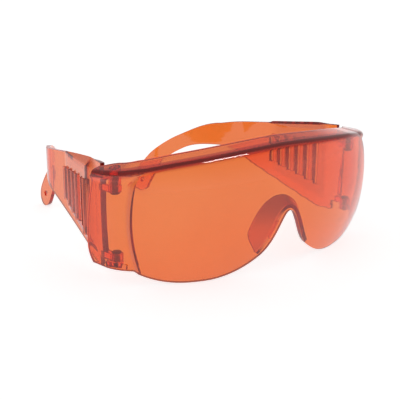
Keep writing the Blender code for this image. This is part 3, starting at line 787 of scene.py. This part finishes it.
def arm_direction(t):
    s0, z0 = arm_point(max(t - ARM_SLOPE_STEP, 0.0))
    s1, z1 = arm_point(min(t + ARM_SLOPE_STEP, 1.0))
    long = math.hypot(s1 - s0, z1 - z0)
    return (s1 - s0) / long, (z1 - z0) / long


def arm_width(t):
    """Width of the arm across its centre line: it narrows behind the body and widens to the tip."""
    root = temple_top(BODY_END) - temple_foot(BODY_END)
    narrow = root + (ARM_MID_WIDTH - root) * smooth(t / ARM_NARROW_SHARE)
    return narrow + (2.0 * TIP_SHORT - narrow) * smooth((t - 0.5) / 0.5)


def ledge_depth(s):
    """Height of the ledge along the panel's top, which keeps a least height as the panel dies away."""
    return max(PANEL_LEDGE_DROP * panel_taper(s), PANEL_LEDGE_LEAST)


def row_levels(s):
    """Heights of the rows of one column of the body, closer together at the panel's foot and ledge."""
    foot, top = temple_foot(s), temple_top(s)
    panel_foot = slot_foot(s) - PANEL_FOOT_DROP
    ledge = top - ledge_depth(s)
    levels = between(foot, panel_foot - PANEL_FOOT_RAMP, FOOT_ROWS)
    levels += between(panel_foot - PANEL_FOOT_RAMP, panel_foot, FOOT_RAMP_ROWS)
    return levels + between(panel_foot, ledge, PANEL_ROWS) + between(ledge, top, LEDGE_ROWS) + [top]


def across(s, z, ds, dz, half):
    """The two points at a distance half on either side of a point of the arm's centre line."""
    return (s + dz * half, z - ds * half), (s - dz * half, z + ds * half)


def fine_columns():
    """Pairs of (s, z) points, the foot and the top of each column, from the front edge to the tip."""
    found = []
    count = round((BODY_END - TEMPLE_FRONT) / TEMPLE_STEP)
    for s in between(TEMPLE_FRONT, BODY_END, count) + [BODY_END]:
        found.append(((s, temple_foot(s)), (s, temple_top(s))))
    for k in range(1, ARM_COLUMNS + 1):
        t = k / ARM_COLUMNS
        found.append(across(*arm_point(t), *arm_direction(t), arm_width(t) / 2.0))
    (s, z), (ds, dz) = tip_centre(), arm_direction(1.0)
    for k in range(1, TIP_COLUMNS + 1):
        angle = TIP_TURN * k / TIP_COLUMNS
        along = TIP_LONG * math.sin(angle)
        found.append(across(s + ds * along, z + dz * along, ds, dz, TIP_SHORT * math.cos(angle)))
    return found


def temple_point(side, s, z, extra=0.0):
    return (side * (outboard(s, z) + extra), s, z)


def slot_places():
    """Place, lowest and highest height of each louvre."""
    places = [SLOT_FIRST + SLOT_PITCH * k for k in range(SLOT_COUNT)]
    return [(s, slot_foot(s), SLOT_HEAD - SLOT_HEAD_SLOPE * s) for s in places]


def hood_corners(side, s, z):
    """Four corners of a louvre hood at one height: rooted in front of the slot, standing off behind."""
    root, edge = s - HOOD_ROOT_RUN, s + HOOD_RIM_RUN
    face = TEMPLE_THICKNESS / 2.0
    return [
        temple_point(side, root, z, face - HOOD_THICKNESS),
        temple_point(side, edge, z, face + HOOD_STAND_OFF - HOOD_THICKNESS),
        temple_point(side, edge, z, face + HOOD_STAND_OFF),
        temple_point(side, root, z, face + HOOD_PROUD),
    ]


def knuckle_outline():
    """A round end about the pin and a straight arm back to the temple's front edge."""
    arm = [(TEMPLE_OUTBOARD - KNUCKLE_ARM_INSET, KNUCKLE_ARM), (0.0, KNUCKLE_ARM)]
    return circle(KNUCKLE_RADIUS, math.radians(90), math.radians(270), 24, True) + arm


def notch_blocks(side):
    """What the temple leaves free for the brow shelf above and for the lower lug below."""
    near, far = -NOTCH_HALF_WIDTH * side, NOTCH_HALF_WIDTH * side

    def block(s, low, high):
        plan = [(near, NOTCH_FRONT), (far, NOTCH_FRONT), (far, s), (near, s)]
        return [(x, y, low) for x, y in plan], [(x, y, high) for x, y in plan]

    foot = knuckle_levels()[1]
    return [block(NOTCH_LENGTH, NOTCH_TOP, NOTCH_CEILING), block(NOTCH_FOOT_LENGTH, NOTCH_FLOOR, foot)]


def block_objects(name, blocks, rounding=0.0):
    made = []
    for k, (lower, upper) in enumerate(blocks):
        obj = new_object(f"{name}_{k}", block_mesh(name, lower, upper))
        if rounding:
            round_edges(obj, rounding, 2)
        made.append(obj)
    return made


def slot_boxes(side):
    boxes = []
    half = SLOT_WIDTH / 2.0
    for s, low, high in slot_places():
        middle = outboard(s, (low + high) / 2.0)
        near, far = side * (middle - SLOT_HALF_DEPTH), side * (middle + SLOT_HALF_DEPTH)
        plan = [(near, s - half), (far, s - half), (far, s + half), (near, s + half)]
        boxes.append(([(x, y, low) for x, y in plan], [(x, y, high) for x, y in plan]))
    return boxes


def hood_boxes(side):
    found = []
    for s, low, high in slot_places():
        lower = hood_corners(side, s, low - HOOD_OVERLAP)
        found.append((lower, hood_corners(side, s, high + HOOD_OVERLAP)))
    return found


def tip_hole(side):
    """A round bar that lies across the tip's middle, for the cord's hole."""
    s, z = tip_centre()
    middle = side * outboard(s, z)
    radius = TIP_HOLE_RADIUS
    bm = bmesh.new()
    made = bmesh.ops.create_cone(
        bm, cap_ends=True, segments=HOLE_SIDES, radius1=radius, radius2=radius, depth=TIP_HOLE_DEPTH
    )
    for vertex in made["verts"]:
        x, y, height = vertex.co
        vertex.co = (middle + height, s + y, z - x)
    bmesh.ops.recalc_face_normals(bm, faces=list(bm.faces))
    return new_object("tip_hole", to_mesh(bm, "tip_hole"))


def mark_panel(mesh, side, fold):
    """Stores painted shade for the louvred panel and a darker painted shadow for the ledge that runs
    along its top.
    """
    turn = -side * fold
    values = []
    for vertex in mesh.vertices:
        x, y, z = vertex.co
        x -= side * HINGE_X
        y -= HINGE_Y - FRONT_SHIFT
        s = x * math.sin(turn) + y * math.cos(turn)
        if not PANEL_START < s < PANEL_END:
            values.append(0.0)
            continue
        ends = smooth((s - PANEL_START) / PANEL_MARK_START_FADE)
        ends *= smooth((PANEL_END - s) / PANEL_MARK_END_FADE)
        foot = smooth((z - slot_foot(s) + PANEL_FOOT_DROP + PANEL_FOOT_RAMP) / PANEL_FOOT_RAMP)
        share = LEDGE_SHADE if temple_top(s) - z < ledge_depth(s) else PANEL_SHADE
        values.append(share * ends * foot)
    store_painted_shade(mesh, values)


def temple_sheet(name, side):
    columns = fine_columns()
    rows = len(row_levels(BODY_END))

    def at(i, j):
        (s0, z0), (s1, z1) = columns[i]
        levels = row_levels(min(s0, BODY_END))
        part = (levels[j] - levels[0]) / (levels[-1] - levels[0])
        return temple_point(side, s0 + (s1 - s0) * part, z0 + (z1 - z0) * part)

    temple = new_object(name, grid_mesh(name, len(columns), rows, at))
    solidify(temple, TEMPLE_THICKNESS, 0.0)
    round_edges(temple, RIM_ROUND)
    return temple


def temple_pieces(side):
    """Everything that is cut from the temple's sheet or joined to it."""
    pieces = [(piece, "DIFFERENCE") for piece in block_objects("notch", notch_blocks(side))]
    pieces += [(piece, "DIFFERENCE") for piece in block_objects("slot", slot_boxes(side))]
    pieces += [(piece, "UNION") for piece in block_objects("hood", hood_boxes(side), SMALL_ROUND)]
    hole = circle(PIN_RADIUS + PIN_CLEARANCE, count=HOLE_SIDES)
    for low in knuckle_levels():
        outline = sided(knuckle_outline(), side)
        pieces.append((prism("knuckle", outline, low, low + KNUCKLE_HEIGHT, SMALL_ROUND), "UNION"))
        pieces.append((prism("bore", hole, low - MM, low + KNUCKLE_HEIGHT + MM), "DIFFERENCE"))
    pieces.append((tip_hole(side), "DIFFERENCE"))
    return pieces


def build_temple(name, side, fold):
    temple = temple_sheet(name, side)
    pieces = temple_pieces(side)
    two_slots(temple)
    for piece, operation in pieces:
        two_slots(piece, operation == "DIFFERENCE")
        hinge_place(piece, side, fold)
        boolean(temple, piece, operation)
    hinge_place(temple, side, fold)
    apply_all(temple, [piece for piece, _ in pieces])
    # Painted shade on the louvred panel and painted shadow on its ledge.
    mark_panel(temple.data, side, fold)
    return temple


# ---------------------------------------------------------------- materials


def value_node(nodes, kind, **values):
    """A shader node with its sockets and settings given by name."""
    node = nodes.new(kind)
    for name, value in values.items():
        socket = node.inputs.get(name.replace("_", " "))
        if socket is None:
            setattr(node, name, value)
        else:
            socket.default_value = value
    return node


def noise(nodes, links, coords, scale, detail=2.0, stretch=(1.0, 1.0, 1.0)):
    """Noise in object space, stretched along the flow of the moulding."""
    mapping = value_node(nodes, "ShaderNodeMapping", Scale=stretch)
    links.new(coords.outputs["Object"], mapping.inputs["Vector"])
    made = value_node(nodes, "ShaderNodeTexNoise", Scale=scale, Detail=detail, Roughness=0.5)
    links.new(mapping.outputs[0], made.inputs["Vector"])
    return made.outputs["Fac"]


def remap(nodes, links, source, low, high, to_low, to_high):
    made = value_node(nodes, "ShaderNodeMapRange")
    made.inputs["From Min"].default_value = low
    made.inputs["From Max"].default_value = high
    made.inputs["To Min"].default_value = to_low
    made.inputs["To Max"].default_value = to_high
    links.new(source, made.inputs["Value"])
    return made.outputs["Result"]


def mix(nodes, links, factor, first, second):
    """A colour mix; each of first and second is a colour or a socket."""
    made = nodes.new("ShaderNodeMix")
    made.data_type = "RGBA"
    links.new(factor, made.inputs[0])
    for socket, value in ((made.inputs[6], first), (made.inputs[7], second)):
        if isinstance(value, bpy.types.NodeSocket):
            links.new(value, socket)
        else:
            socket.default_value = value
    return made.outputs[2]


def tinted(name, wall, painted_behind, roughness):
    """Clear plastic whose tint is strongest on the first wall that light meets; those behind get a paler
    colour as painted light, and a stored share mixes painted shade into both.
    """
    material = bpy.data.materials.new(name)
    material.use_nodes = True
    nodes, links = material.node_tree.nodes, material.node_tree.links
    shader = nodes["Principled BSDF"]
    shader.inputs["IOR"].default_value = 1.585
    shader.inputs["Transmission Weight"].default_value = 1.0
    coords = nodes.new("ShaderNodeTexCoord")

    cloud = noise(nodes, links, coords, 28.0, 3.0)
    tint = mix(nodes, links, remap(nodes, links, cloud, 0.35, 0.65, 0.0, 1.0), wall[0], wall[1])
    # Painted shade: the stored share darkens the tint towards a dark red.
    painted_shade = nodes.new("ShaderNodeAttribute")
    painted_shade.attribute_name = "painted_shade"
    tint = mix(nodes, links, painted_shade.outputs["Fac"], tint, PAINTED_SHADE_TINT)
    # Painted light: walls met after the first, counted by transmission depth, take the paler colour.
    path = nodes.new("ShaderNodeLightPath")
    behind = value_node(nodes, "ShaderNodeMath", operation="GREATER_THAN")
    behind.inputs[1].default_value = 1.5
    links.new(path.outputs["Transmission Depth"], behind.inputs[0])
    painted_behind = mix(nodes, links, painted_shade.outputs["Fac"], painted_behind, PAINTED_SHADE_BEHIND)
    links.new(mix(nodes, links, behind.outputs[0], tint, painted_behind), shader.inputs["Base Color"])

    haze = noise(nodes, links, coords, 160.0, 4.0)
    links.new(remap(nodes, links, haze, 0.3, 0.7, roughness[0], roughness[1]), shader.inputs["Roughness"])

    flow = noise(nodes, links, coords, 55.0, 2.0, (0.35, 1.0, 2.2))
    fine = noise(nodes, links, coords, 900.0, 3.0)
    ripple = value_node(nodes, "ShaderNodeBump", Strength=0.5, Distance=0.00015)
    grain = value_node(nodes, "ShaderNodeBump", Strength=0.12, Distance=0.00001)
    links.new(flow, ripple.inputs["Height"])
    links.new(fine, grain.inputs["Height"])
    links.new(ripple.outputs[0], grain.inputs["Normal"])
    links.new(grain.outputs[0], shader.inputs["Normal"])

    # Painted glow: a faint red emission, though the plastic is no lamp.
    shader.inputs["Emission Color"].default_value = PAINTED_GLOW
    shader.inputs["Emission Strength"].default_value = PAINTED_GLOW_STRENGTH
    volume = nodes.new("ShaderNodeVolumeAbsorption")
    volume.inputs["Color"].default_value = DYE_COLOUR
    volume.inputs["Density"].default_value = DYE_DENSITY
    links.new(volume.outputs[0], nodes["Material Output"].inputs["Volume"])
    return material


def pin_plastic(name):
    """Dark maroon pin plastic, mottled and slightly scuffed."""
    material = bpy.data.materials.new(name)
    material.use_nodes = True
    nodes, links = material.node_tree.nodes, material.node_tree.links
    shader = nodes["Principled BSDF"]
    coords = nodes.new("ShaderNodeTexCoord")
    mottle = remap(nodes, links, noise(nodes, links, coords, 700.0, 3.0), 0.4, 0.6, 0.0, 1.0)
    links.new(mix(nodes, links, mottle, PIN_DARK, PIN_LIGHT), shader.inputs["Base Color"])
    scuff = noise(nodes, links, coords, 1800.0, 4.0)
    links.new(remap(nodes, links, scuff, 0.3, 0.7, 0.18, 0.42), shader.inputs["Roughness"])
    bump = value_node(nodes, "ShaderNodeBump", Strength=0.3, Distance=0.00003)
    links.new(scuff, bump.inputs["Height"])
    links.new(bump.outputs[0], shader.inputs["Normal"])
    return material


def plain(name, colour, roughness):
    material = bpy.data.materials.new(name)
    material.use_nodes = True
    shader = material.node_tree.nodes["Principled BSDF"]
    shader.inputs["Base Color"].default_value = colour
    shader.inputs["Roughness"].default_value = roughness
    shader.inputs["Specular IOR Level"].default_value = 0.2
    return material


# ---------------------------------------------------------------- studio


def build_floor():
    """A wide white floor that glows a little."""
    far = FLOOR_HALF
    mesh = bpy.data.meshes.new("floor")
    mesh.from_pydata([(-far, -far, 0), (far, -far, 0), (far, far, 0), (-far, far, 0)], [], [(0, 1, 2, 3)])
    paper = plain("floor", FLOOR_COLOUR, 0.6)
    glow = paper.node_tree.nodes["Principled BSDF"]
    glow.inputs["Emission Color"].default_value = WHITE
    glow.inputs["Emission Strength"].default_value = FLOOR_GLOW
    mesh.materials.append(paper)
    return new_object("floor", mesh)


def build_sky():
    """White at and below the horizon, grey overhead."""
    world = bpy.data.worlds.new("studio")
    bpy.context.scene.world = world
    world.use_nodes = True
    nodes, links = world.node_tree.nodes, world.node_tree.links
    coords = nodes.new("ShaderNodeTexCoord")
    split = nodes.new("ShaderNodeSeparateXYZ")
    ramp = nodes.new("ShaderNodeValToRGB")
    links.new(coords.outputs["Generated"], split.inputs[0])
    links.new(split.outputs["Z"], ramp.inputs[0])
    links.new(ramp.outputs[0], nodes["Background"].inputs["Color"])
    low, high = ramp.color_ramp.elements
    low.position = SKY_WHITE_END
    low.color = WHITE
    high.position = SKY_GREY_START
    high.color = SKY_GREY
    nodes["Background"].inputs["Strength"].default_value = SKY_STRENGTH


def build_camera():
    az, el = CAMERA_AZIMUTH, CAMERA_ELEVATION
    back = Vector((math.sin(az) * math.cos(el), -math.cos(az) * math.cos(el), math.sin(el)))
    camera = bpy.data.objects.new("camera", bpy.data.cameras.new("camera"))
    camera.location = Vector(CAMERA_TARGET) + back * CAMERA_DISTANCE
    camera.rotation_mode = "QUATERNION"
    camera.rotation_quaternion = (-back).to_track_quat("-Z", "Y")
    camera.data.sensor_width = SENSOR_WIDTH
    camera.data.lens = FOCAL_LENGTH
    camera.data.clip_start = NEAREST_SEEN
    bpy.context.scene.collection.objects.link(camera)
    bpy.context.scene.camera = camera
    bpy.context.scene.view_settings.view_transform = "Standard"


def build_softbox():
    """A soft lamp that shows only in reflections, aimed at the lens's upper face."""
    light = bpy.data.lights.new("softbox", "AREA")
    light.shape = "RECTANGLE"
    light.size = SOFTBOX_WIDTH
    light.size_y = SOFTBOX_HEIGHT
    light.energy = SOFTBOX_ENERGY
    lamp = bpy.data.objects.new("softbox", light)
    toward = Vector(SOFTBOX_DIRECTION).normalized()
    lamp.location = Vector(SOFTBOX_AIM) + toward * SOFTBOX_DISTANCE
    lamp.rotation_mode = "QUATERNION"
    lamp.rotation_quaternion = toward.to_track_quat("Z", "Y")
    lamp.visible_diffuse = False
    lamp.visible_transmission = False
    lamp.visible_volume_scatter = False
    bpy.context.scene.collection.objects.link(lamp)


# ---------------------------------------------------------------- assembly

clear = tinted("tinted_polycarbonate", WALL_TINTS, WALL_BEHIND_PAINTED_LIGHT, (0.015, 0.05))
rim = tinted("tinted_rim", RIM_TINTS, RIM_BEHIND_PAINTED_LIGHT, (0.12, 0.3))
maroon = pin_plastic("pin_plastic")

shield = build_shield()
temples = {
    "left": build_temple("left_temple_moulding", -1, LEFT_FOLD),
    "right": build_temple("right_temple_moulding", 1, RIGHT_FOLD),
}
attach(shield, "shield")
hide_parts("lens_shield")
for tag, temple in temples.items():
    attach(temple, tag + "_temple")
    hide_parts("temple_" + tag)

upper, lower = knuckle_levels()
for side, tag in ((-1, "left"), (1, "right")):
    lower_end = lower + KNUCKLE_HEIGHT + PIN_SLACK
    made = {
        "upper": build_pin(f"pin_upper_{tag}", side, upper - PIN_SLACK, UPPER_PIN_TOP, True),
        "lower": build_pin(f"pin_lower_{tag}", side, LUG_BOTTOM, lower_end, False),
    }
    for level, pin in made.items():
        pin.data.materials.append(maroon)
        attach(pin, "shield")
        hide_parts(f"hinge_pin_{level}_{tag}")

build_floor()
build_sky()
build_camera()
build_softbox()
